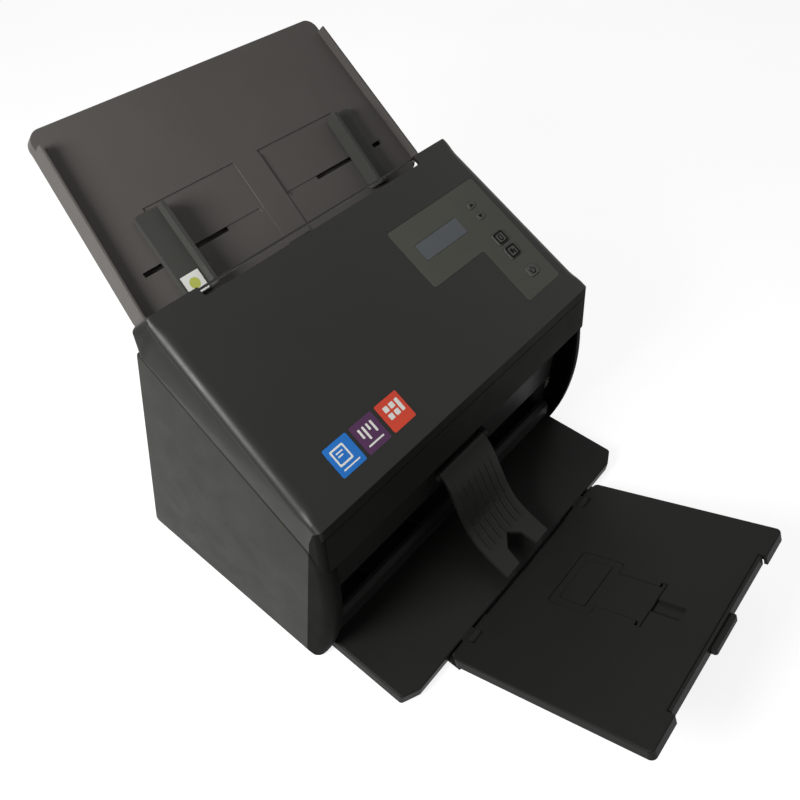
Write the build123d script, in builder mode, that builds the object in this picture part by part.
"""Document scanner: a body with a big sloping cover that swings open and two paper trays.

Millimetres, +Z up, front of the machine towards -Y.
The origin is on the table, at the middle of the body's base.
Side outlines are written as (y, z) points. A sloping surface has its own (s, h) places:
s runs along it, away from its start point, and h stands out of it.
"""

import os
from math import acos, atan2, cos, degrees, pi, radians, sin, tan

from build123d import *

os.makedirs("parts", exist_ok=True)

# Driving dimensions: body outline, as (y, z) points
body_width = 320.0
rear_foot = (85.0, 3.0)
front_foot = (-97.0, 3.0)
panel_belly = (-108.5, 60.0)
panel_shoulder = (-104.0, 117.4)
panel_front_top = (-89.0, 132.0)
panel_rear_top = (59.0, 207.0)
cover_rear = (50.0, 236.0)
cover_front = (-99.0, 157.0)
cover_rear_chamfer = (62.0, 223.0)
cover_nose = (-104.4, 118.0)
nose_groove_z = 148.0

# Driving dimensions: walls and gaps
wall = 2.5
panel_depth = 11.5
frame_thickness = 2.0
arm_thickness = 3.0
seat_gap = 0.3
parting_gap = 0.6
bore_clearance = 0.05
pin_clearance = 0.04

# Driving dimensions: paper path, input tray and output tray
chute_foot = (72.0, 211.0)
chute_slope = 40.5
chute_length = 144.0
chute_start = -6.0
chute_half_foot = 145.5
chute_half_head = 134.5
chute_wall_up = 8.0
chute_wall_end = 131.0
path_top = (46.0, 188.8)
path_slope = 50.0
path_gap = 1.5
guide_thickness = 2.5
exit_distance = 184.0
shelf_top = 13.0
shelf_front = -167.0
shelf_inset = 14.0
tray_foot = (-170.0, 16.0)
tray_slope = 25.3
tray_length = 150.0
tray_width = 204.0
tray_plate = 4.0
tray_skirt = 8.0

# Driving dimensions: pivots, as (y, z) points
door_pivot = (-80.0, 97.0)
door_pivot_pin = 2.5
door_barrel = 6.0
flap_pivot = (-95.5, 85.0)

# Driving dimensions: rollers and gears
shaft_radius = 4.0
pick_distance = 20.0
pick_radius = 13.0
feed_distance = 70.0
feed_radius = 9.0
idler_radius = 7.0
separation_radius = 12.0
nip_gap = 0.35
gear_module = 1.5
gear_face = 5.0
feed_teeth = 28
pick_teeth = 20
upper_transfer_teeth = 16
motor_teeth = 10
motor_spread = 0.25
backlash = 0.25

# Driving dimensions: paper guides
guide_inner = 85.0
guide_block_width = 22.0
guide_block_length = 66.0
guide_block_height = 6.0
guide_fin_height = 14.0
guide_row = 47.0
rack_module = 1.2
rack_teeth_pinion = 14

# Driving dimensions: control panel on the cover, x and s along the cover
overlay_thickness = 0.5
overlay_left = 36.5
overlay_inner = 98.5
overlay_right = 143.5
overlay_top = 40.7
overlay_step = 94.6
overlay_bottom = 147.0
key_column = 121.8
key_clearance = 0.3


def on_line(start, slope, along, height=0.0):
    """The (y, z) point that lies along a sloping line from its start, and height above it."""
    a = radians(slope)
    return (
        start[0] + along * cos(a) - height * sin(a),
        start[1] + along * sin(a) + height * cos(a),
    )


def slanted(start, slope):
    """The plane of a sloping surface: local x is across the machine, local y runs up and back."""
    a = radians(slope)
    return Plane(origin=(0, start[0], start[1]), x_dir=(1, 0, 0), z_dir=(0, -sin(a), cos(a)))


def slope_of(low, high):
    return degrees(atan2(high[1] - low[1], high[0] - low[0]))


def side_prism(points, x0, x1, mode=Mode.ADD, corner=0.0):
    """A prism between x0 and x1 from a side outline of (y, z) points, its corners rounded."""
    with BuildSketch(Plane.YZ.offset(x0)) as outline:
        with BuildLine():
            Polyline(*points, close=True)
        make_face()
        if corner:
            fillet(outline.vertices(), corner)
    extrude(outline.sketch, amount=x1 - x0, mode=mode)


def slab(plane, x0, x1, y0, y1, h0, h1, mode=Mode.ADD, corner=0.0):
    """A flat block on a plane, between two x, two local y and two heights."""
    with BuildSketch(plane.offset(h0)) as outline:
        with Locations(((x0 + x1) / 2, (y0 + y1) / 2)):
            if corner:
                RectangleRounded(abs(x1 - x0), abs(y1 - y0), corner)
            else:
                Rectangle(abs(x1 - x0), abs(y1 - y0))
    extrude(outline.sketch, amount=h1 - h0, mode=mode)


def rod(centre, radius, x0, x1, mode=Mode.ADD):
    """A round bar across the machine, at a (y, z) centre."""
    with BuildSketch(Plane.YZ.offset(x0)) as section:
        with Locations(centre):
            Circle(radius)
    extrude(section.sketch, amount=x1 - x0, mode=mode)


def mirrored_rods(centre, radius, x0, x1, mode=Mode.ADD):
    rod(centre, radius, x0, x1, mode)
    rod(centre, radius, -x1, -x0, mode)


def finish(builder, name):
    builder.part.label = name
    export_step(builder.part, f"parts/{name}.step")


def cover_at(s, h=0.0):
    return on_line(cover_rear, cover_slope, -s, h)


def chute_at(s, h=0.0):
    return on_line(chute_foot, chute_slope, s, h)


def path_at(s, h=0.0):
    return on_line(path_top, path_slope, -s, h)


def tray_at(s, h=0.0):
    return on_line(tray_foot, -tray_slope, -s, h)


def parting_z(y):
    """Height of the side panels' top edge, under the cover's skirt."""
    return panel_front_top[1] + (y - panel_front_top[0]) * tan(radians(parting_slope))


def rear_wall_y(z):
    """How far back the leaning rear wall is at a height."""
    lean = (panel_rear_top[0] - rear_foot[0]) / (panel_rear_top[1] - rear_foot[1])
    return rear_foot[0] + (z - rear_foot[1]) * lean


def distance(a, b):
    return ((a[0] - b[0]) ** 2 + (a[1] - b[1]) ** 2) ** 0.5


def direction(a, b):
    """Angle of the line from a to b, in degrees."""
    return degrees(atan2(b[1] - a[1], b[0] - a[0]))


def polar(centre, radius, angle):
    return (centre[0] + radius * cos(radians(angle)), centre[1] + radius * sin(radians(angle)))


def meeting_point(a, radius_a, b, radius_b, side):
    """The point at radius_a from a and radius_b from b, on one side of the line between them."""
    d = distance(a, b)
    turn = degrees(acos(min(1.0, (radius_a**2 + d**2 - radius_b**2) / (2 * radius_a * d))))
    return polar(a, radius_a, direction(a, b) + side * turn)


def mesh_turn(driver_centre, driver_pitch, driver_turn, centre, pitch, teeth):
    """Turn, in degrees, that puts a gear's gaps over the teeth of the gear that it meshes with."""
    line = direction(driver_centre, centre)
    lag = -(driver_pitch / pitch) * (driver_turn - line)
    return line + 180 + lag + 180 / teeth


def gear(centre, teeth, turn, bore, x0, x1, web=0.0):
    """A spur gear with straight-sided teeth. A web above zero thins the disc between rim and hub."""
    pitch = gear_module * teeth / 2
    tip = pitch + 0.9 * gear_module
    root = pitch - 1.1 * gear_module
    half_pitch_tooth = (pi * gear_module / 2 - backlash) / 2
    half_tip = half_pitch_tooth - 0.9 * gear_module * tan(radians(20))
    half_root = half_pitch_tooth + 1.1 * gear_module * tan(radians(20))
    with BuildSketch(Plane.YZ.offset(x0)) as section:
        with Locations(centre):
            Circle(root)
        with BuildSketch(mode=Mode.PRIVATE) as tooth:
            with BuildLine():
                Polyline(
                    (root - 0.4, -half_root),
                    (tip, -half_tip),
                    (tip, half_tip),
                    (root - 0.4, half_root),
                    close=True,
                )
            make_face()
        with Locations(Location((centre[0], centre[1], 0), (0, 0, turn))):
            with PolarLocations(0, teeth):
                add(tooth.sketch)
        with Locations(centre):
            Circle(bore, mode=Mode.SUBTRACT)
    extrude(section.sketch, amount=x1 - x0)
    if web:
        with BuildSketch(Plane.YZ.offset(x1)) as ring:
            with Locations(centre):
                Circle(root - 2.5)
                Circle(bore + 3.5, mode=Mode.SUBTRACT)
        extrude(ring.sketch, amount=-(x1 - x0 - web) / 2, mode=Mode.SUBTRACT)
        with BuildSketch(Plane.YZ.offset(x0)) as ring:
            with Locations(centre):
                Circle(root - 2.5)
                Circle(bore + 3.5, mode=Mode.SUBTRACT)
        extrude(ring.sketch, amount=(x1 - x0 - web) / 2, mode=Mode.SUBTRACT)


def down_slab(plane, x0, x1, s0, s1, h0, h1, mode=Mode.ADD, corner=0.0):
    """A block on a surface whose s runs downhill, between two x, two s and two heights."""
    slab(plane, x0, x1, -s1, -s0, h0, h1, mode, corner)


def under(points, thickness):
    """The points that lie a thickness below a curve that runs forward and down."""
    moved = []
    for index, point in enumerate(points):
        before = points[max(index - 1, 0)]
        after = points[min(index + 1, len(points) - 1)]
        run = distance(before, after)
        moved.append(
            (
                point[0] - (after[1] - before[1]) * thickness / run,
                point[1] + (after[0] - before[0]) * thickness / run,
            )
        )
    return moved


def chute_outline(inset=0.0, height=0.0):
    """Sketch of the input tray's outline, in its own plane or at a height over it."""
    with BuildSketch(chute_plane.offset(height)) as shape:
        with BuildLine():
            Polyline(
                (chute_half_foot, chute_start),
                (chute_half_head, chute_wall_end),
                (chute_half_head, chute_length),
                (-chute_half_head, chute_length),
                (-chute_half_head, chute_wall_end),
                (-chute_half_foot, chute_start),
                close=True,
            )
        make_face()
        fillet(shape.vertices().group_by(Axis.Z)[-1], 10)
        if inset:
            offset(amount=-inset)
    return shape.sketch


def rack(pitch_s, back_s, x0, x1, tooth_centres, h0, h1):
    """A toothed bar: its pitch line lies at pitch_s and its plain edge at back_s."""
    toward = 1 if pitch_s > back_s else -1
    root_s = pitch_s - toward * 1.15 * rack_module
    tip_s = pitch_s + toward * 0.9 * rack_module
    slab(chute_plane, x0, x1, back_s, root_s, h0, h1)
    half_root = rack_pitch / 4 - 0.12 + 1.15 * rack_module * tan(radians(20))
    half_tip = rack_pitch / 4 - 0.12 - 0.9 * rack_module * tan(radians(20))
    with BuildSketch(chute_plane.offset(h0)) as teeth:
        for centre in tooth_centres:
            with BuildSketch(mode=Mode.PRIVATE) as tooth:
                with BuildLine():
                    Polyline(
                        (centre - half_root, root_s - toward * 0.2),
                        (centre - half_tip, tip_s),
                        (centre + half_tip, tip_s),
                        (centre + half_root, root_s - toward * 0.2),
                        close=True,
                    )
                make_face()
            add(tooth.sketch)
    extrude(teeth.sketch, amount=h1 - h0)


def overlay_outline(height, grow=0.0):
    """Sketch of the flag-shaped control panel, at a height over the cover."""
    with BuildSketch(cover_plane.offset(height)) as shape:
        with BuildLine():
            Polyline(
                (overlay_left, -overlay_top),
                (overlay_right, -overlay_top),
                (overlay_right, -overlay_bottom),
                (overlay_inner, -overlay_bottom),
                (overlay_inner, -overlay_step),
                (overlay_left, -overlay_step),
                close=True,
            )
        make_face()
        fillet(shape.vertices(), 2.5)
        if grow:
            offset(amount=grow)
    return shape.sketch


def cover_profile(x, inset=0.0):
    """Sketch of the cover's side outline at an x, down to the parting line."""
    with BuildSketch(Plane.YZ.offset(x)) as shape:
        with BuildLine():
            Polyline(
                (59.0, parting_z(59.0) + parting_gap),
                cover_rear_chamfer,
                cover_rear,
                cover_front,
                cover_nose,
                (-89.4, parting_z(-89.4) + parting_gap),
                close=True,
            )
        make_face()
        fillet(shape.vertices().sort_by(Axis.Y)[1:2] + shape.vertices().sort_by(Axis.Z)[-1:], 4)
        if inset:
            offset(amount=-inset)
    return shape.sketch


def panel_outline(inset=0.0):
    """Sketch of a side panel: straight behind, with a bulging front edge."""
    with BuildSketch(Plane.YZ.offset(panel_inner)) as shape:
        with BuildLine():
            Polyline(panel_shoulder, panel_front_top, panel_rear_top, rear_foot, front_foot)
            ThreePointArc(front_foot, panel_belly, panel_shoulder)
        make_face()
        fillet(shape.vertices(), 4)
        if inset:
            offset(amount=-inset)
    return shape.sketch


# Sloping surfaces
cover_slope = slope_of(cover_front, cover_rear)
parting_slope = slope_of(panel_front_top, panel_rear_top)
cover_plane = slanted(cover_rear, cover_slope)
chute_plane = slanted(chute_foot, chute_slope)
path_plane = slanted(path_top, path_slope)
tray_plane = slanted(tray_foot, -tray_slope)

# Widths, from the outside of the side panels inwards
half_width = body_width / 2
panel_inner = half_width - panel_depth
frame_outer = panel_inner - seat_gap
frame_inner = frame_outer - frame_thickness
arm_outer = frame_inner - parting_gap
arm_inner = arm_outer - arm_thickness
fixed_half = frame_inner - seat_gap
shelf_half = half_width - shelf_inset

# Roller centres: driven rollers lie under the path, idlers over it
pick_centre = path_at(pick_distance, -pick_radius)
feed_centre = path_at(feed_distance, -feed_radius)
exit_centre = path_at(exit_distance, -feed_radius)
separation_centre = path_at(pick_distance, separation_radius + nip_gap)
feed_idler_centre = path_at(feed_distance, idler_radius + nip_gap)
exit_idler_centre = path_at(exit_distance, idler_radius + nip_gap)

# Gear train, as pitch radii and centres
feed_pitch = gear_module * feed_teeth / 2
pick_pitch = gear_module * pick_teeth / 2
upper_pitch = gear_module * upper_transfer_teeth / 2
motor_pitch = gear_module * motor_teeth / 2
lower_transfer_teeth = round((distance(feed_centre, exit_centre) / 2 - feed_pitch) * 2 / gear_module)
lower_pitch = gear_module * lower_transfer_teeth / 2
lower_reach = feed_pitch + lower_pitch
lower_centre = meeting_point(feed_centre, lower_reach, exit_centre, lower_reach, 1)
upper_centre = meeting_point(
    feed_centre, feed_pitch + upper_pitch, pick_centre, pick_pitch + upper_pitch, -1
)
motor_angle = -26.0
motor_centre = polar(lower_centre, lower_pitch + motor_pitch + motor_spread, motor_angle)
feed_turn = 0.0
lower_turn = mesh_turn(feed_centre, feed_pitch, feed_turn, lower_centre, lower_pitch, lower_transfer_teeth)
exit_turn = mesh_turn(lower_centre, lower_pitch, lower_turn, exit_centre, feed_pitch, feed_teeth)
motor_turn = mesh_turn(lower_centre, lower_pitch, lower_turn, motor_centre, motor_pitch, motor_teeth)
upper_turn = mesh_turn(feed_centre, feed_pitch, feed_turn, upper_centre, upper_pitch, upper_transfer_teeth)
pick_turn = mesh_turn(upper_centre, upper_pitch, upper_turn, pick_centre, pick_pitch, pick_teeth)
gear_in = panel_inner + 1.2
gear_out = gear_in + gear_face
shaft_end = gear_out + 0.8
bush_radius = shaft_radius + 2.0
stud_radius = 3.0
flange_thickness = 1.0

# Side panels: shallow moulded shells with a rounded outside edge
for side, name in ((1, "right_panel"), (-1, "left_panel")):
    with BuildPart() as panel:
        extrude(panel_outline(), amount=panel_depth)
        fillet(panel.faces().sort_by(Axis.X)[-1].edges(), 2.2)
        extrude(panel_outline(wall), amount=panel_depth - wall, mode=Mode.SUBTRACT)
        if side < 0:
            mirror(about=Plane.YZ, mode=Mode.REPLACE)
    finish(panel, name)

# Steel side frames with the holes of bushes, pivots and studs
frame_points = [(78, 7), (-88.5, 7), (-86, 124), (52, 192)]
for side, name in ((1, "right_frame"), (-1, "left_frame")):
    with BuildPart() as frame:
        side_prism(frame_points, frame_inner, frame_outer, corner=4)
        for centre in (pick_centre, feed_centre, exit_centre):
            rod(centre, bush_radius + bore_clearance, frame_inner - 1, frame_outer + 1, Mode.SUBTRACT)
        rod(door_pivot, door_pivot_pin + pin_clearance, frame_inner - 1, frame_outer + 1, Mode.SUBTRACT)
        if side > 0:
            rod(motor_centre, 8.0, frame_inner - 1, frame_outer + 1, Mode.SUBTRACT)
            for centre in (lower_centre, upper_centre):
                rod(centre, stud_radius + pin_clearance, frame_inner - 1, frame_outer + 1, Mode.SUBTRACT)
        if side < 0:
            mirror(about=Plane.YZ, mode=Mode.REPLACE)
    finish(frame, name)

# Base housing: floor, low walls and the rounded front lip under the exit mouth
base_rear = rear_wall_y(22.0) - wall - seat_gap
with BuildPart() as base_housing:
    side_prism([(-88, 3), (base_rear, 3), (base_rear, 6), (-88, 6)], -fixed_half, fixed_half)
    for x in (-fixed_half, fixed_half - wall):
        side_prism([(-88, 5), (base_rear, 5), (base_rear, 22), (-88, 22)], x, x + wall)
    with BuildSketch(Plane.YZ.offset(-fixed_half)) as lip:
        with BuildLine():
            Polyline((-88, 3), (-94, 3), (-96.5, 7), (-96.5, 20))
            Line((-96.5, 20), (-95.5, 25))
            Line((-95.5, 25), (-92, 27.5))
            Line((-92, 27.5), (-88, 27.5))
            Line((-88, 27.5), (-88, 3))
        make_face()
        fillet(lip.vertices().group_by(Axis.Y)[-1], 1.5)
    extrude(amount=2 * fixed_half)
    with GridLocations(200, 110, 2, 2):
        with Locations((0, 0, 6)):
            Cylinder(4, 5, align=(Align.CENTER, Align.CENTER, Align.MIN))
    for x in (-90, -30, 30, 90):
        side_prism([(-88, 5), (-60, 5), (-60, 8), (-88, 20)], x - 1.2, x + 1.2)
finish(base_housing, "base_housing")

# Rubber feet
with BuildPart() as rubber_feet:
    with GridLocations(body_width - 70, 140, 2, 2):
        Cylinder(8, rear_foot[1], align=(Align.CENTER, Align.CENTER, Align.MIN))
    with GridLocations(2 * shelf_half - 72, 0, 2, 1):
        with Locations((0, -150)):
            Cylinder(6, 4.7, align=(Align.CENTER, Align.CENTER, Align.MIN))
    chamfer(rubber_feet.edges().group_by(Axis.Z)[0], 0.6)
finish(rubber_feet, "rubber_feet")

# Rear cover: leaning wall with two rows of vents and the two socket openings
rear_cover_top = 197.0
rear_top_y = rear_wall_y(rear_cover_top)
jack_place = (-96.0, 28.0)
usb_place = (-62.0, 28.0)
with BuildPart() as rear_cover:
    side_prism(
        [
            rear_foot,
            (rear_top_y, rear_cover_top),
            (rear_top_y - wall, rear_cover_top),
            (rear_foot[0] - wall, rear_foot[1]),
        ],
        -frame_outer,
        frame_outer,
    )
    with BuildSketch(Plane.XZ.offset(-100)):
        with Locations((55, 62), (-55, 62)):
            with GridLocations(9, 0, 9, 1):
                SlotOverall(34, 3.6, rotation=90)
        with Locations(jack_place):
            Rectangle(11.6, 13.6)
        with Locations(usb_place):
            Rectangle(13.6, 12.6)
    extrude(amount=60, mode=Mode.SUBTRACT)
finish(rear_cover, "rear_cover")

# Power inlet and data socket, on the main board and looking out through the rear cover
board_top = 14.6
socket_back = rear_wall_y(rear_foot[1] + 25) - 0.4
with BuildPart() as power_inlet:
    with BuildSketch(Plane.XZ.offset(-socket_back)):
        with Locations(jack_place):
            Rectangle(11, 13)
    extrude(amount=14)
    with BuildSketch(Plane.XZ.offset(-socket_back)):
        with Locations(jack_place):
            Circle(3.2)
            Circle(1.0, mode=Mode.SUBTRACT)
    extrude(amount=9.5, mode=Mode.SUBTRACT)
    side_prism(
        [
            (socket_back - 14, board_top),
            (socket_back - 2, board_top),
            (socket_back - 2, 22.5),
            (socket_back - 14, 22.5),
        ],
        jack_place[0] - 4,
        jack_place[0] + 4,
    )
finish(power_inlet, "power_inlet")

with BuildPart() as data_socket:
    with BuildSketch(Plane.XZ.offset(-socket_back)):
        with Locations(usb_place):
            Rectangle(13, 12)
    extrude(amount=16)
    with BuildSketch(Plane.XZ.offset(-socket_back)):
        with Locations(usb_place):
            Rectangle(8.6, 7.8)
            Rectangle(5.6, 3.0, mode=Mode.SUBTRACT)
    extrude(amount=10, mode=Mode.SUBTRACT)
    side_prism(
        [
            (socket_back - 16, board_top),
            (socket_back - 2, board_top),
            (socket_back - 2, 23),
            (socket_back - 16, 23),
        ],
        usb_place[0] - 5,
        usb_place[0] + 5,
    )
finish(data_socket, "data_socket")

# Main circuit board on four pillars
with BuildPart() as main_board:
    with Locations((-40, 20, 11.0)):
        Box(150, 118, 1.6, align=(Align.CENTER, Align.CENTER, Align.MIN))
    with Locations((-40, 10, 12.6)):
        Box(22, 22, 2.2, align=(Align.CENTER, Align.CENTER, Align.MIN))
    with Locations((-85, -10, 12.6), (0, -15, 12.6), (-5, 50, 12.6)):
        Box(12, 9, 3, align=(Align.CENTER, Align.CENTER, Align.MIN))
    with Locations((-96, socket_back - 8, 12.6), (-62, socket_back - 9, 12.6)):
        Box(8, 10, board_top - 12.6, align=(Align.CENTER, Align.CENTER, Align.MIN))
    with Locations((-60, 30, 12.6), (-20, 34, 12.6)):
        Cylinder(5, 12, align=(Align.CENTER, Align.CENTER, Align.MIN))
finish(main_board, "main_board")

# Hopper: the floor of the paper throat, between the input tray and the feed path
hinge_height = -8.0
hinge_radius = 5.0
chute_pin_radius = 2.0
chute_hinge = chute_at(chute_start, hinge_height)
hopper_back = rear_wall_y(rear_cover_top) - wall - seat_gap
with BuildPart() as hopper:
    side_prism(
        [
            chute_at(chute_start - 4.5, 0),
            path_at(0.5, -1.0),
            path_at(3.5, -5.0),
            (hopper_back, 178),
            (hopper_back, rear_cover_top + seat_gap),
            (rear_top_y, rear_cover_top + seat_gap),
            polar(chute_hinge, 7.0, 188),
        ],
        -fixed_half,
        fixed_half,
    )
    for column in range(7):
        x = -fixed_half + wall + column * 41.4
        side_prism([(51, 187.2), (51, 176), (56.4, 174), (56.4, 192.6)], x, x + 39.4, Mode.SUBTRACT)
    for x in (-137.7, -121.5, 116.5, 132.7):
        side_prism(
            [
                (rear_top_y - 0.5, rear_cover_top + 0.6),
                (rear_top_y + 1.5, rear_cover_top + 3.5),
                polar(chute_hinge, hinge_radius - 0.2, 185),
                polar(chute_hinge, hinge_radius - 0.2, 250),
            ],
            x,
            x + 5,
        )
        rod(chute_hinge, hinge_radius - 0.2, x, x + 5)
    rod(chute_hinge, chute_pin_radius + pin_clearance, -140, 140, Mode.SUBTRACT)
finish(hopper, "hopper")

# Input tray hinge pins
with BuildPart() as input_tray_pins:
    mirrored_rods(chute_hinge, chute_pin_radius, 116.5, 137.7)
finish(input_tray_pins, "input_tray_pins")


# Places of the tyres across the machine
feed_columns = (-100.0, -45.0, 45.0, 100.0)
tyre_width = 14.0
pick_half = 26.0
window_margin = 1.0

# Lower paper guide, with windows for the tyres and for the lower sensor
sensor_top = 88.0
sensor_bottom = 112.0
sensor_half = 120.0
guide_low = -path_gap - guide_thickness
with BuildPart() as lower_guide:
    down_slab(path_plane, -143.6, 143.6, 3.0, 177.0, guide_low, -path_gap)
    for x in (-fixed_half, fixed_half - 2.2):
        side_prism(
            [path_at(6, guide_low + 1), path_at(174, guide_low + 1), path_at(174, -16), path_at(6, -22)],
            x,
            x + 2.2,
        )
    for s in (42.0, 82.0, 116.0, 150.0):
        down_slab(path_plane, -143.6, 143.6, s, s + 2.0, guide_low - 8.0, guide_low)
    for centre in (pick_centre, feed_centre, exit_centre):
        rod(centre, bush_radius + 1.0, -fixed_half - 1, fixed_half + 1, Mode.SUBTRACT)
    down_slab(path_plane, -pick_half - 1.5, pick_half + 1.5, 2.0, 34.5, guide_low - 1, 0, Mode.SUBTRACT)
    down_slab(path_plane, -sensor_half - seat_gap, sensor_half + seat_gap, sensor_top - seat_gap,
              sensor_bottom + seat_gap, guide_low - 1, 0, Mode.SUBTRACT)
    for x in feed_columns:
        for s in (feed_distance, exit_distance):
            down_slab(path_plane, x - tyre_width / 2 - window_margin, x + tyre_width / 2 + window_margin,
                      s - feed_radius - 0.5, s + feed_radius + 0.5, guide_low - 1, 0, Mode.SUBTRACT)
    for x in (-125, -72, -15, 15, 72, 125):
        down_slab(path_plane, x - 0.8, x + 0.8, 122.0, 172.0, -path_gap, -path_gap + 0.8)
finish(lower_guide, "lower_guide")

# Lower image sensor and its glass
with BuildPart() as lower_sensor:
    down_slab(path_plane, -sensor_half, sensor_half, sensor_top, sensor_bottom, -19, -path_gap - 1.3)
    down_slab(
        path_plane,
        -sensor_half + 6,
        sensor_half - 6,
        sensor_top - 2.6,
        sensor_bottom + 2.6,
        -9,
        guide_low - seat_gap,
    )
    down_slab(
        path_plane,
        -sensor_half + 8,
        sensor_half - 8,
        sensor_top + 3,
        sensor_bottom - 3,
        -20,
        -17,
        Mode.SUBTRACT,
    )
finish(lower_sensor, "lower_sensor")
with BuildPart() as lower_glass:
    down_slab(path_plane, -116, 116, 91, 109, -path_gap - 1.0, -path_gap)
finish(lower_glass, "lower_glass")

# Exit cover: the fixed front guide that closes the body over the exit mouth
exit_cover_top = 89.5
exit_cover_front = -90.0
exit_cover_points = [
    (exit_cover_front, exit_cover_top),
    (exit_cover_front, 56),
    (-86, 50),
    (-72.6, 50),
    path_at(130.9, path_gap),
]
flap_half = 28.0
flap_ear_gap = 0.5
flap_pin_radius = 1.5
with BuildPart() as exit_cover:
    side_prism(exit_cover_points, -fixed_half, fixed_half)
    exit_rib_columns = [
        -fixed_half, -110.5, -89.5, -55.5, -34.5, 34.5 - 2, 55.5 - 2, 89.5 - 2, 110.5 - 2, fixed_half - 2
    ]
    for index in range(len(exit_rib_columns) - 1):
        x0 = exit_rib_columns[index] + 2
        x1 = exit_rib_columns[index + 1]
        side_prism(
            [
                (exit_cover_front + wall, exit_cover_top - wall),
                (exit_cover_front + wall, 57),
                (-84.8, 52.5),
                (-74.2, 52.5),
                path_at(133.5, path_gap + guide_thickness),
            ],
            x0,
            x1,
            Mode.SUBTRACT,
        )
    for x in exit_rib_columns[1:-1]:
        rod(exit_idler_centre, 4.6, x, x + 2)
    for x in feed_columns:
        rod(exit_idler_centre, idler_radius + 0.6, x - tyre_width / 2 - window_margin, x + tyre_width / 2 + window_margin,
            Mode.SUBTRACT)
        with BuildSketch(Plane.XY.offset(44)) as window:
            with Locations((x, exit_idler_centre[0])):
                Rectangle(tyre_width + 2 * window_margin, 2 * idler_radius + 1.2)
        extrude(window.sketch, amount=8.6, mode=Mode.SUBTRACT)
    rod(exit_idler_centre, 2.0 + bore_clearance, -120, 120, Mode.SUBTRACT)
    for x in (-flap_half - flap_ear_gap - 4, flap_half + flap_ear_gap):
        side_prism([
            (exit_cover_front + 0.5, 79),
            (exit_cover_front + 0.5, 88.2),
            (flap_pivot[0], 88.2),
            (flap_pivot[0], 81.8),
        ],
                   x, x + 4)
        rod(flap_pivot, 3.2, x, x + 4)
    rod(flap_pivot, flap_pin_radius + bore_clearance, -flap_half - 3.5, flap_half + 3.5, Mode.SUBTRACT)
finish(exit_cover, "exit_cover")

# Exit flap: curved, ribbed and two-pronged, lying over the shelf


flap_upper = [
    (-96.5, 87.4),
    (-103, 83.0),
    (-111, 73.0),
    (-119, 60.5),
    (-128, 47.5),
    (-136, 39.5),
    (-147, 33.4),
    (-167, 26.6),
]
flap_lower = under(flap_upper, 2.6)[::-1]
with BuildPart() as exit_flap:
    with BuildSketch(Plane.YZ.offset(-flap_half)) as curve:
        with BuildLine():
            Spline(*flap_upper)
            Line(flap_upper[-1], flap_lower[0])
            Spline(*flap_lower)
            Line(flap_lower[-1], flap_upper[0])
        make_face()
    extrude(curve.sketch, amount=2 * flap_half)
    rod(flap_pivot, 3.2, -flap_half, flap_half)
    for x in (-21, -14, -7, 0, 7, 14, 21):
        side_prism(
            [
                (-105, 81.2),
                (-112, 72.4),
                (-120, 60.0),
                (-128.6, 47.6),
                (-136.5, 39.9),
                (-147, 34.1),
                (-146, 32.2),
                (-135.4, 38.0),
                (-127, 45.8),
                (-118, 58.8),
                (-110, 71.4),
                (-104, 79.4),
            ],
            x - 0.7,
            x + 0.7,
        )
    with BuildSketch(Plane.XY.offset(10)) as notch:
        with BuildLine():
            Polyline((-14, -180), (14, -180), (10, -154), (0, -146), (-10, -154), close=True)
        make_face()
        fillet(notch.vertices().filter_by_position(Axis.Y, -160, -140), 2.5)
    extrude(notch.sketch, amount=60, mode=Mode.SUBTRACT)
    for x in (-flap_half - 3.2, flap_half):
        rod(flap_pivot, flap_pin_radius, x, x + 3.2)
finish(exit_flap, "exit_flap")

# Output shelf: the flat first part of the output tray
shelf_rear = -96.8
tray_hinge = tray_at(1.0, -4.6)
tray_barrel = 4.5
tray_pin_radius = 1.5
shelf_outline = [
    (-shelf_half, shelf_rear),
    (-shelf_half, shelf_front + 6),
    (-shelf_half + 14, shelf_front),
    (shelf_half - 14, shelf_front),
    (shelf_half, shelf_front + 6),
    (shelf_half, shelf_rear),
]
with BuildPart() as output_shelf:
    with BuildSketch(Plane.XY.offset(4)) as outline:
        with BuildLine():
            Polyline(*shelf_outline, close=True)
        make_face()
        fillet(outline.vertices().sort_by(Axis.Y)[:4], 3)
    extrude(outline.sketch, amount=shelf_top - 4)
    fillet(output_shelf.faces().sort_by(Axis.Z)[-1].edges().filter_by(Axis.X, reverse=True), 1.5)
    with BuildSketch(Plane.XY.offset(4)) as hollow:
        offset(outline.sketch, amount=-wall)
    extrude(hollow.sketch, amount=shelf_top - 4 - wall, mode=Mode.SUBTRACT)
    for x in (-110, -66, -22, 22, 66, 110):
        side_prism([
            (shelf_front + 1, 5),
            (shelf_rear - 1, 5),
            (shelf_rear - 1, shelf_top - 1),
            (shelf_front + 1, shelf_top - 1),
        ],
                   x - 0.9, x + 0.9)
    for x in (-40, 40):
        side_prism(
            [
                (shelf_rear - 2, 0.4),
                (-74, 0.4),
                (-74, 2.7),
                (shelf_rear, 2.7),
                (shelf_rear, 6),
                (shelf_rear - 2, 6),
            ],
            x - 9,
            x + 9,
        )
    for x in (-84, 72):
        side_prism(
            [
                (shelf_front + 1, 5),
                (shelf_front + 1, shelf_top - 0.3),
                polar(tray_hinge, tray_barrel - 0.4, 75),
                polar(tray_hinge, tray_barrel - 0.4, -75),
            ],
            x,
            x + 12,
        )
        rod(tray_hinge, tray_barrel, x, x + 12)
    rod(tray_hinge, tray_pin_radius + pin_clearance, -90, 90, Mode.SUBTRACT)
finish(output_shelf, "output_shelf")

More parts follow.
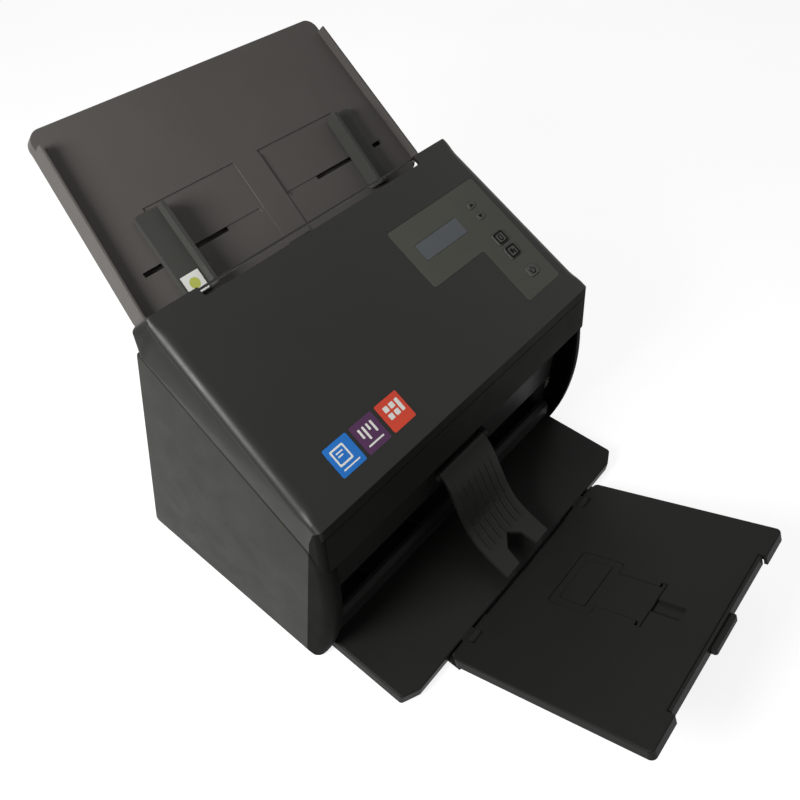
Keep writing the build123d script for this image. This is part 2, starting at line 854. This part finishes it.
# Output tray hinge pins
with BuildPart() as tray_hinge_pins:
    mirrored_rods(tray_hinge, tray_pin_radius, 60, 96)
finish(tray_hinge_pins, "tray_hinge_pins")

# Output tray: sloping plate with skirts, a recess for the paper stop and rails for the extension
tray_half = tray_width / 2
extension_half = 71.0
extension_start = 30.0
extension_end = tray_length - 2.7
stop_hinge_s = 100.0
stop_hinge_h = -1.7
stop_barrel = 1.5
stop_pin_radius = 0.9
stop_bottom = -2.5
stop_top = -0.3
fit = 0.4
with BuildPart() as output_tray:
    down_slab(tray_plane, -tray_half, tray_half, 0, tray_length, -tray_skirt, 0, corner=4)
    down_slab(
        tray_plane,
        -tray_half + wall,
        tray_half - wall,
        -1,
        tray_length - wall,
        -tray_skirt - 1,
        -tray_plate,
        Mode.SUBTRACT,
    )
    down_slab(tray_plane, -extension_half - 1.3, extension_half + 1.3, tray_length - 5.3, tray_length + 1, -tray_skirt - 1, 1,
              Mode.SUBTRACT, corner=0)
    fillet(
        output_tray.faces().sort_by(Axis((0, 0, 0), tray_plane.z_dir))[-1].edges().filter_by(Axis.X), 1.2
    )
    for side in (-1, 1):
        for x0, top in ((71.3, -tray_plate), (68.5, -tray_plate - 3.5)):
            down_slab(
                tray_plane,
                side * x0,
                side * 73.3,
                extension_start,
                tray_length - 5.3,
                -tray_plate - 5.0,
                top,
            )
        for x0 in (58.0, 84.3):
            rod(
                tray_hinge,
                tray_barrel,
                side * x0 if side > 0 else -x0 - 13.7 + 0.3,
                side * x0 + 13.4 if side > 0 else -x0,
            )
            slab(tray_plane, side * x0, side * (x0 + 13.4), -6.5, 0, -tray_skirt + 0.6, -tray_plate + 0.1)
        down_slab(tray_plane, side * 71.7, side * 84.3, -2, 7.5, -12, 1, Mode.SUBTRACT)
        down_slab(tray_plane, side * 71.7, side * 84.3, -2, 9.5, -12, -tray_plate, Mode.SUBTRACT)
    for s in (22.0, 26.0):
        down_slab(tray_plane, -tray_half + 1, tray_half - 1, s, s + 1.6, -tray_skirt + 1, -tray_plate)
    down_slab(
        tray_plane,
        -27 - fit,
        27 + fit,
        33 - fit,
        66 + fit,
        stop_bottom - seat_gap,
        1,
        Mode.SUBTRACT,
        corner=3,
    )
    down_slab(
        tray_plane, -17 - fit, 17 + fit, 60, stop_hinge_s + 2.4, stop_bottom - seat_gap, 1, Mode.SUBTRACT
    )
    down_slab(
        tray_plane, -21 - fit, 21 + fit, stop_hinge_s - 2.4, stop_hinge_s + 2.4, -3.4, 1, Mode.SUBTRACT
    )
    down_slab(tray_plane, -6, 6, stop_hinge_s, 123, stop_bottom - seat_gap, 1, Mode.SUBTRACT, corner=2)
    down_slab(tray_plane, -21 + fit, 21 - fit, 39 + fit, 60 - fit, -3.2, 0, corner=1.5)
    rod(tray_at(stop_hinge_s, stop_hinge_h), stop_pin_radius + bore_clearance, -25, 25, Mode.SUBTRACT)
    rod(tray_hinge, tray_pin_radius + bore_clearance, -100, 100, Mode.SUBTRACT)
finish(output_tray, "output_tray")

# Extension of the output tray, drawn out from under it
with BuildPart() as tray_extension:
    down_slab(
        tray_plane,
        -extension_half,
        extension_half,
        extension_start,
        extension_end,
        -tray_plate - 3.2,
        -tray_plate - seat_gap,
    )
    for x in (-45, 0, 45):
        down_slab(
            tray_plane,
            x - 15,
            x + 15,
            44,
            extension_end - 19,
            -tray_plate - 4,
            -tray_plate,
            Mode.SUBTRACT,
            corner=5,
        )
    down_slab(
        tray_plane,
        -extension_half,
        extension_half,
        extension_end - 2.2,
        extension_end,
        -tray_plate - 3.2,
        -seat_gap,
    )
    down_slab(
        tray_plane,
        -17,
        17,
        extension_end - 1.3,
        extension_end + 4.2,
        -tray_plate - 2.4,
        -tray_plate + 1.4,
        corner=2,
    )
finish(tray_extension, "tray_extension")

# Paper stop that folds up out of the output tray
with BuildPart() as paper_stop:
    down_slab(tray_plane, -17, 17, 60, stop_hinge_s, stop_bottom, stop_top)
    down_slab(tray_plane, -27, 27, 33, 66, stop_bottom, stop_top, corner=3)
    down_slab(tray_plane, -21, 21, 39, 60, stop_bottom - 1, stop_top + 1, Mode.SUBTRACT, corner=1.5)
    rod(tray_at(stop_hinge_s, stop_hinge_h), stop_barrel, -21, 21)
    rod(tray_at(stop_hinge_s, stop_hinge_h), stop_pin_radius, -24.4, 24.4)
finish(paper_stop, "paper_stop")

# Input tray: wide floor, side walls, knuckles and the slots of the paper guides


chute_bottom = -9.0
floor_thickness = 2.4
slot_s = 27.0
slot_width = 3.6
neck_inner = 92.0
neck_outer = 100.0
guide_in_travel = 45.0
guide_out_travel = 22.0
rack_pitch_radius = rack_module * rack_teeth_pinion / 2
rack_top = -floor_thickness - seat_gap
rack_bottom = rack_top - 4.3


with BuildPart() as input_tray:
    extrude(chute_outline(height=chute_bottom), amount=chute_wall_up - chute_bottom)
    fillet(input_tray.faces().sort_by(Axis((0, 0, 0), chute_plane.z_dir))[-1].edges(), 1.6)
    extrude(chute_outline(wall), amount=chute_wall_up + 1, mode=Mode.SUBTRACT)
    extrude(
        chute_outline(wall, chute_bottom - 1), amount=1 - chute_bottom - floor_thickness, mode=Mode.SUBTRACT
    )
    slab(chute_plane, -150, 150, chute_wall_end, chute_length + 1, 0, chute_wall_up + 1, Mode.SUBTRACT)
    slab(chute_plane, -150, 150, chute_start - 1, chute_start + 3.5, 0, chute_wall_up + 1, Mode.SUBTRACT)
    slab(
        chute_plane,
        -150,
        150,
        chute_start - 1,
        chute_start + 5.3,
        chute_bottom - 1,
        -floor_thickness,
        Mode.SUBTRACT,
    )
    slab(chute_plane, -139.5, 139.5, chute_start + 5.3, chute_start + 7.8, chute_bottom, -floor_thickness)
    for x in (-132.4, 121.8):
        side_prism(
            [chute_at(-6, -2), chute_at(1, -2), chute_at(1, chute_bottom), chute_at(-6, -12.8)], x, x + 10.6
        )
        rod(chute_hinge, hinge_radius - 0.2, x, x + 10.6)
    rod(chute_hinge, chute_pin_radius + bore_clearance, -135, 135, Mode.SUBTRACT)
    for side in (-1, 1):
        slab(chute_plane, side * 12, side * 95, slot_s, 67, -0.8, 1, Mode.SUBTRACT)
        slab(chute_plane, side * (neck_inner - guide_in_travel - 0.5), side * (
            neck_outer + guide_out_travel + 0.5
        ),
             slot_s - slot_width / 2, slot_s + slot_width / 2, -floor_thickness - 1, 1, Mode.SUBTRACT)
        slab(
            chute_plane,
            side * 15,
            side * 60,
            slot_s - slot_width / 2,
            slot_s + slot_width / 2,
            -1.4,
            1,
            Mode.SUBTRACT,
        )
    slab(chute_plane, -12, 12, chute_start + 1, 63, 0, 0.6)
    for x in (-118, -72, -24, 24, 72, 118):
        slab(chute_plane, x - 0.8, x + 0.8, 66.0, 137.0, -5.4, -floor_thickness)
    for s in (92.0, 114.0):
        slab(chute_plane, -129, 129, s - 0.8, s + 0.8, -5.4, -floor_thickness)
finish(input_tray, "input_tray")

# Underside plate of the input tray, with the pinion's stud and the rails of the racks
back_top = rack_bottom - seat_gap
with BuildPart() as tray_back:
    extrude(chute_outline(wall + seat_gap, chute_bottom), amount=back_top - chute_bottom)
    slab(chute_plane, -150, 150, chute_start - 1, chute_start + 8.1, chute_bottom - 1, 0, Mode.SUBTRACT)
    slab(chute_plane, -125, 76, 57.6, 61.0, back_top, rack_top - 2.0 - seat_gap)
    slab(chute_plane, -125, 76, 61.3, 63.0, back_top, rack_top - 0.3)
    slab(chute_plane, -76, 45, 30.8, 32.5, back_top, rack_top - 2.0 - seat_gap)
    with BuildSketch(chute_plane.offset(back_top)) as stud:
        with Locations((0, guide_row)):
            Circle(2.5)
    extrude(stud.sketch, amount=rack_top - back_top)
finish(tray_back, "tray_back")

# Paper guides: each has a finned block over the floor and a rack under it
rack_pitch = pi * rack_module
rack_level = 2.0


left_rack_s = guide_row + rack_pitch_radius
right_rack_s = guide_row - rack_pitch_radius
for side, name in ((-1, "left_guide"), (1, "right_guide")):
    inner = side * guide_inner
    outer = side * (guide_inner + guide_block_width)
    low_side = side * neck_inner
    high_side = side * neck_outer
    level_top = rack_top if side < 0 else rack_top - rack_level - seat_gap
    with BuildPart() as paper_guide:
        slab(
            chute_plane, inner, outer, -3, -3 + guide_block_length, seat_gap, guide_block_height, corner=2.5
        )
        slab(
            chute_plane,
            inner,
            inner + side * 3,
            -3,
            -3 + guide_block_length,
            seat_gap,
            guide_fin_height,
            corner=1.2,
        )
        slab(chute_plane, inner + side * 2.2, outer - side * 2.2, -0.5, -5.5 + guide_block_length, 0, guide_block_height - 2,
             Mode.SUBTRACT)
        for s in (8.0, 18.0, 38.0, 48.0):
            slab(
                chute_plane,
                inner + side * 1,
                outer - side * 1,
                s,
                s + 1.4,
                seat_gap,
                guide_block_height - 1,
            )
        slab(
            chute_plane,
            low_side,
            high_side,
            slot_s - 1.5,
            slot_s + 1.5,
            level_top - rack_level,
            guide_block_height - 1,
        )
        if side < 0:
            slab(chute_plane, low_side, high_side, slot_s - 1.5, 61, level_top - rack_level, level_top)
            centres = [rack_pitch * (n + 0.5) for n in range(-14, 7)]
            rack(left_rack_s, 61, high_side, 30, centres, level_top - rack_level, level_top)
        else:
            slab(chute_plane, low_side, high_side, slot_s - 1.5, 36, level_top - rack_level, level_top)
            centres = [rack_pitch * (n + 0.5) for n in range(-7, 14)]
            rack(right_rack_s, 32.8, -30, high_side, centres, level_top - rack_level, level_top)
    finish(paper_guide, name)

# Pinion that couples the two paper guides
with BuildPart() as guide_pinion:
    pinion_root = rack_pitch_radius - 1.1 * rack_module
    pinion_tip = rack_pitch_radius + 0.9 * rack_module
    with BuildSketch(chute_plane.offset(rack_bottom)) as section:
        with Locations((0, guide_row)):
            Circle(pinion_root)
        with BuildSketch(mode=Mode.PRIVATE) as tooth:
            with BuildLine():
                half_pitch_tooth = rack_pitch / 4 - 0.12
                Polyline(
                    (pinion_root - 0.4, -half_pitch_tooth - 1.1 * rack_module * tan(radians(18))),
                    (pinion_tip, -half_pitch_tooth + 0.9 * rack_module * tan(radians(24))),
                    (pinion_tip, half_pitch_tooth - 0.9 * rack_module * tan(radians(24))),
                    (pinion_root - 0.4, half_pitch_tooth + 1.1 * rack_module * tan(radians(18))),
                    close=True,
                )
            make_face()
        with Locations(Location((0, guide_row, 0), (0, 0, 90))):
            with PolarLocations(0, rack_teeth_pinion):
                add(tooth.sketch)
        with Locations((0, guide_row)):
            Circle(2.5 + bore_clearance, mode=Mode.SUBTRACT)
    extrude(section.sketch, amount=rack_top - rack_bottom)
finish(guide_pinion, "guide_pinion")

# Control panel on the cover: places of the keys, as x, s, width and length
keys = {
    "up_key": (key_column, 59.5, 8.0, 6.0),
    "down_key": (key_column, 70.9, 8.0, 6.0),
    "simplex_key": (key_column, 94.4, 14.0, 11.4),
    "duplex_key": (key_column, 108.6, 14.0, 11.4),
    "power_key": (123.6, 130.0, 12.0, 9.6),
}
lcd_box = (49.0, 100.0, 60.0, 75.0)
overlay_top_h = 0.2
overlay_bottom_h = overlay_top_h - overlay_thickness
pocket_depth = seat_gap - overlay_bottom_h


# Top cover: big sloping shell with rounded side edges and the recess wall over the exit
shell_half = half_width - seat_gap
rear_opening_half = chute_half_foot + 2 * seat_gap + 0.2
recess_half = arm_inner - seat_gap


with BuildPart() as top_cover:
    extrude(cover_profile(-shell_half), amount=2 * shell_half)
    for end in (0, -1):
        side_edges = top_cover.faces().sort_by(Axis.X)[end].edges()
        fillet([e for e in side_edges if e.center().Z - parting_z(e.center().Y) > 6.5], 5)
    extrude(cover_profile(-shell_half + wall, wall), amount=2 * (shell_half - wall), mode=Mode.SUBTRACT)
    side_prism(
        [
            (-86.5, parting_z(-86.5) - 2),
            (56.4, parting_z(56.4) - 2),
            (56.4, parting_z(56.4) + 4),
            (-86.5, parting_z(-86.5) + 4),
        ],
        -shell_half + wall,
        shell_half - wall,
        Mode.SUBTRACT,
    )
    side_prism([
        (46, 200), (70, 200), (70, 240), (cover_at(0)[0] + 0.01, 240), cover_at(0.0), cover_at(0.0, -8)
    ],
               -rear_opening_half, rear_opening_half, Mode.SUBTRACT)
    down_slab(cover_plane, -112, 112, -4, 8, -wall - 1, 2, Mode.SUBTRACT, corner=2)
    side_prism(
        [
            (-98.0, 125.0),
            (-90.5, 112.5),
            (-86.0, 103.5),
            (-86.0, 97),
            (-80, 97),
            (-82.5, 101),
            (-83.4, 104),
            (-88.2, 114.0),
            (-95.0, 128.2),
        ],
        -recess_half,
        recess_half,
    )
    rod(door_pivot, door_barrel, -recess_half, recess_half)
    side_prism([
        (-106, nose_groove_z - 0.4),
        (-99.5, nose_groove_z - 0.4),
        (-99.5, nose_groove_z + 0.4),
        (-106, nose_groove_z + 0.4),
    ],
               -half_width, half_width, Mode.SUBTRACT)
    for x in (-115, -62, -8):
        down_slab(cover_plane, x - 0.8, x + 0.8, 17, 158, -6.5, -wall + 0.1)
    extrude(overlay_outline(-pocket_depth, seat_gap), amount=pocket_depth + 1, mode=Mode.SUBTRACT)
    for x, s, width, length in keys.values():
        down_slab(cover_plane, x - width / 2 - key_clearance, x + width / 2 + key_clearance, s - length / 2 - key_clearance,
                  s + length / 2 + key_clearance, -wall - 1, 1, Mode.SUBTRACT, corner=2.6)
    for x in (45, 137):
        for s in (50, 136):
            with BuildSketch(cover_plane.offset(-6.6)) as boss:
                with Locations((x, -s)):
                    Circle(2.6)
            extrude(boss.sketch, amount=6.6 - wall + 0.1)
finish(top_cover, "top_cover")

# Printed control overlay and the window of its display
with BuildPart() as control_overlay:
    extrude(overlay_outline(overlay_bottom_h), amount=overlay_thickness)
    for x, s, width, length in keys.values():
        down_slab(cover_plane, x - width / 2 - key_clearance, x + width / 2 + key_clearance, s - length / 2 - key_clearance,
                  s + length / 2 + key_clearance, -1, 1, Mode.SUBTRACT, corner=2.6)
    down_slab(cover_plane, lcd_box[0] - seat_gap, lcd_box[1] + seat_gap, lcd_box[2] - seat_gap, lcd_box[3] + seat_gap, -1, 1,
              Mode.SUBTRACT)
finish(control_overlay, "control_overlay")
with BuildPart() as lcd_window:
    down_slab(cover_plane, *lcd_box, overlay_bottom_h, overlay_top_h - 0.1)
finish(lcd_window, "lcd_window")

# Keys: each slides through the cover and has a flange under it
key_foot = -5.5
for name, (x, s, width, length) in keys.items():
    with BuildPart() as key:
        down_slab(
            cover_plane, x - width / 2, x + width / 2, s - length / 2, s + length / 2, -3.5, 0.9, corner=2.4
        )
        down_slab(cover_plane, x - width / 2 - 1.2, x + width / 2 + 1.2, s - length / 2 - 0.9, s + length / 2 + 0.9,
                  -wall - seat_gap - 1.0, -wall - seat_gap, corner=1.5)
        down_slab(cover_plane, x - 1.5, x + 1.5, s - 1.5, s + 1.5, key_foot, -3.4)
        chamfer(key.faces().sort_by(Axis((0, 0, 0), cover_plane.z_dir))[-1].edges(), 0.4)
    finish(key, name)

# Control board under the cover, with its display module and switches
with BuildPart() as control_board:
    down_slab(cover_plane, 40, 140.5, 46, 140, -8.5, -6.9)
    down_slab(cover_plane, 52, 97, 57, 79, -7, -3.2)
    for x, s, width, length in keys.values():
        down_slab(cover_plane, x - 3, x + 3, s - 3, s + 3, -7, -6.6)
    down_slab(cover_plane, 60, 76, 100, 116, -10.5, -8.4)
    down_slab(cover_plane, 84, 96, 124, 132, -12, -8.4)
finish(control_board, "control_board")

# Upper frame: arms, upper paper guide and brackets, all swinging with the cover
arm_top = -wall - seat_gap
bracket_bore = 2.0 + bore_clearance
with BuildPart() as upper_frame:
    arm_points = [
        polar(door_pivot, door_barrel, 270),
        polar(door_pivot, door_barrel, 225),
        (-85.4, 97),
        (-85.4, 137.5),
        (-92.8, 144.5),
        (-92.8, 155.0),
        cover_at(14, arm_top),
        path_at(3.5, path_gap + guide_thickness),
        path_at(5, path_gap),
        path_at(126, path_gap),
        (-46, 91.6),
    ]
    for x in (-arm_outer, arm_inner):
        side_prism(arm_points, x, x + arm_thickness)
        side_prism([(-76, 108), (-46, 108), (-46, 162), (-76, 146)], x - 1, x + 4, Mode.SUBTRACT, 4)
        side_prism(
            [(-38, 108), (-28, 108), (-12, 138), (-12, 178), (-38, 166)], x - 1, x + 4, Mode.SUBTRACT, 4
        )
        side_prism([(-2, 146), (18, 168), (18, 200), (-2, 190)], x - 1, x + 4, Mode.SUBTRACT, 4)
    down_slab(path_plane, -arm_inner, arm_inner, 5, 126, path_gap, path_gap + guide_thickness)
    side_prism([
        cover_at(11.5, arm_top), cover_at(14.5, arm_top), (42.3, 190), path_at(4, path_gap + 1), (45.0, 190)
    ],
               -arm_inner, arm_inner)
    for s in (38.0, 81.0, 116.8, 124.4):
        down_slab(path_plane, -arm_inner, arm_inner, s, s + 1.6, path_gap, 9.0)
    for x in (-72.8, 72.8 - 1.6):
        down_slab(path_plane, x, x + 1.6, 5, 80, path_gap, 9.0)
    down_slab(
        path_plane, -pick_half - 1, pick_half + 1, 7, 34, 0, path_gap + guide_thickness + 1, Mode.SUBTRACT
    )
    down_slab(path_plane, -sensor_half - seat_gap, sensor_half + seat_gap, sensor_top - seat_gap, sensor_bottom + seat_gap,
              0, path_gap + guide_thickness + 1, Mode.SUBTRACT)
    for x in feed_columns:
        down_slab(path_plane, x - tyre_width / 2 - window_margin, x + tyre_width / 2 + window_margin,
                  feed_distance - idler_radius - 1, feed_distance + idler_radius + 1, 0, path_gap + guide_thickness + 1,
                  Mode.SUBTRACT)
    for x in (-31.5, 28.5):
        side_prism([path_at(12, 3), path_at(28, 3), path_at(24, 17), path_at(16, 17)], x, x + 3)
    for x in (-111.5, -35.5, 33.5, 109.5):
        side_prism([path_at(62, 3), path_at(78, 3), path_at(74, 12), path_at(66, 12)], x, x + 2)
    rod(separation_centre, 2.5 + bore_clearance, -40, 40, Mode.SUBTRACT)
    rod(feed_idler_centre, bracket_bore, -120, 120, Mode.SUBTRACT)
    for x in (-arm_outer, arm_inner):
        rod(door_pivot, door_pivot_pin + bore_clearance, x - 1, x + 4, Mode.SUBTRACT)
finish(upper_frame, "upper_frame")

# Upper image sensor and its glass
with BuildPart() as upper_sensor:
    down_slab(path_plane, -sensor_half, sensor_half, sensor_top, sensor_bottom, path_gap + 1.3, 19)
    down_slab(path_plane, -sensor_half + 6, sensor_half - 6, sensor_top - 2.6, sensor_bottom + 2.6,
              path_gap + guide_thickness + seat_gap, 9)
    down_slab(
        path_plane,
        -sensor_half + 8,
        sensor_half - 8,
        sensor_top + 3,
        sensor_bottom - 3,
        17,
        20,
        Mode.SUBTRACT,
    )
finish(upper_sensor, "upper_sensor")
with BuildPart() as upper_glass:
    down_slab(path_plane, -116, 116, 91, 109, path_gap, path_gap + 1.0)
finish(upper_glass, "upper_glass")

# Separation roller, pressed against the pick tyre
with BuildPart() as separation_roller:
    rod(separation_centre, separation_radius, -pick_half + 2, pick_half - 2)
    for x in (-12.0, 0.0, 12.0):
        rod(separation_centre, separation_radius + 1, x - 1, x + 1, Mode.SUBTRACT)
        rod(separation_centre, separation_radius - 1.2, x - 1.2, x + 1.2)
    rod(separation_centre, 4.0, -28.2, 28.2)
    rod(separation_centre, 2.5, -33, 33)
finish(separation_roller, "separation_roller")

# Shafts, tyres and idlers
for name, centre in (("pick_shaft", pick_centre), ("feed_shaft", feed_centre), ("exit_shaft", exit_centre)):
    with BuildPart() as shaft:
        rod(centre, shaft_radius, -frame_outer - 2.0, shaft_end)
        for x in (-143.0, 141.0):
            rod(centre, shaft_radius + 1.5, x, x + 2.0)
        chamfer(shaft.faces().sort_by(Axis.X)[-1].edges(), 0.5)
    finish(shaft, name)
tyre_bore = shaft_radius + 0.03
with BuildPart() as pick_tyre:
    rod(pick_centre, pick_radius, -pick_half, pick_half)
    for x in range(-20, 21, 8):
        rod(pick_centre, pick_radius + 1, x - 0.7, x + 0.7, Mode.SUBTRACT)
        rod(pick_centre, pick_radius - 1.0, x - 0.8, x + 0.8)
    rod(pick_centre, tyre_bore, -pick_half - 1, pick_half + 1, Mode.SUBTRACT)
finish(pick_tyre, "pick_tyre")
for name, centre in (("feed_tyres", feed_centre), ("exit_tyres", exit_centre)):
    with BuildPart() as tyres:
        for x in feed_columns:
            rod(centre, feed_radius, x - tyre_width / 2, x + tyre_width / 2)
            rod(centre, tyre_bore, x - tyre_width / 2 - 1, x + tyre_width / 2 + 1, Mode.SUBTRACT)
    finish(tyres, name)
for name, centre, half in (
    ("feed_idler", feed_idler_centre, 112.5), ("exit_idler", exit_idler_centre, 111.5)
):
    with BuildPart() as idler:
        rod(centre, 2.0, -half, half)
        for x in feed_columns:
            rod(centre, idler_radius, x - tyre_width / 2 + 0.5, x + tyre_width / 2 - 0.5)
    finish(idler, name)

# Bushes of the three driven shafts, in the side frames
with BuildPart() as shaft_bushes:
    for centre in (pick_centre, feed_centre, exit_centre):
        mirrored_rods(centre, bush_radius, frame_inner, frame_outer)
        mirrored_rods(centre, bush_radius + 1.6, frame_outer, frame_outer + flange_thickness)
        mirrored_rods(
            centre, shaft_radius + bore_clearance, frame_inner - 1, frame_outer + 2, Mode.SUBTRACT
        )
finish(shaft_bushes, "shaft_bushes")

# Studs of the two transfer gears, with heads that keep the gears on
with BuildPart() as gear_studs:
    for centre in (lower_centre, upper_centre):
        rod(centre, stud_radius, frame_inner, gear_out + 0.4)
        rod(centre, stud_radius + 1.5, gear_out + 0.4, gear_out + 1.4)
        rod(centre, stud_radius + 1.5, frame_outer, gear_in - 0.4)
finish(gear_studs, "gear_studs")

# Pivot pins of the cover's arms
with BuildPart() as door_pivot_pins:
    mirrored_rods(door_pivot, door_pivot_pin, arm_inner, frame_outer)
    mirrored_rods(door_pivot, door_pivot_pin + 1.5, frame_outer, frame_outer + 1.0)
finish(door_pivot_pins, "door_pivot_pins")

# Drive motor
motor_shaft_radius = 2.5
with BuildPart() as drive_motor:
    rod(motor_centre, 21, 104, 143.8)
    rod(motor_centre, 25, 143.8, fixed_half)
    rod(motor_centre, 7.7, fixed_half, frame_outer)
    rod(motor_centre, motor_shaft_radius, frame_outer, gear_out + 0.6)
finish(drive_motor, "drive_motor")

# Gears
gears = {
    "pick_gear": (pick_centre, pick_teeth, pick_turn, tyre_bore, 2.5),
    "feed_gear": (feed_centre, feed_teeth, feed_turn, tyre_bore, 2.5),
    "exit_gear": (exit_centre, feed_teeth, exit_turn, tyre_bore, 2.5),
    "upper_transfer_gear": (
        upper_centre, upper_transfer_teeth, upper_turn, stud_radius + bore_clearance, 0
    ),
    "lower_transfer_gear": (
        lower_centre, lower_transfer_teeth, lower_turn, stud_radius + bore_clearance, 2.5
    ),
    "motor_pinion": (motor_centre, motor_teeth, motor_turn, motor_shaft_radius + bore_clearance, 0),
}
for name, (centre, teeth, turn, bore, web) in gears.items():
    with BuildPart() as spur:
        gear(centre, teeth, turn, bore, gear_in, gear_out, web)
    finish(spur, name)
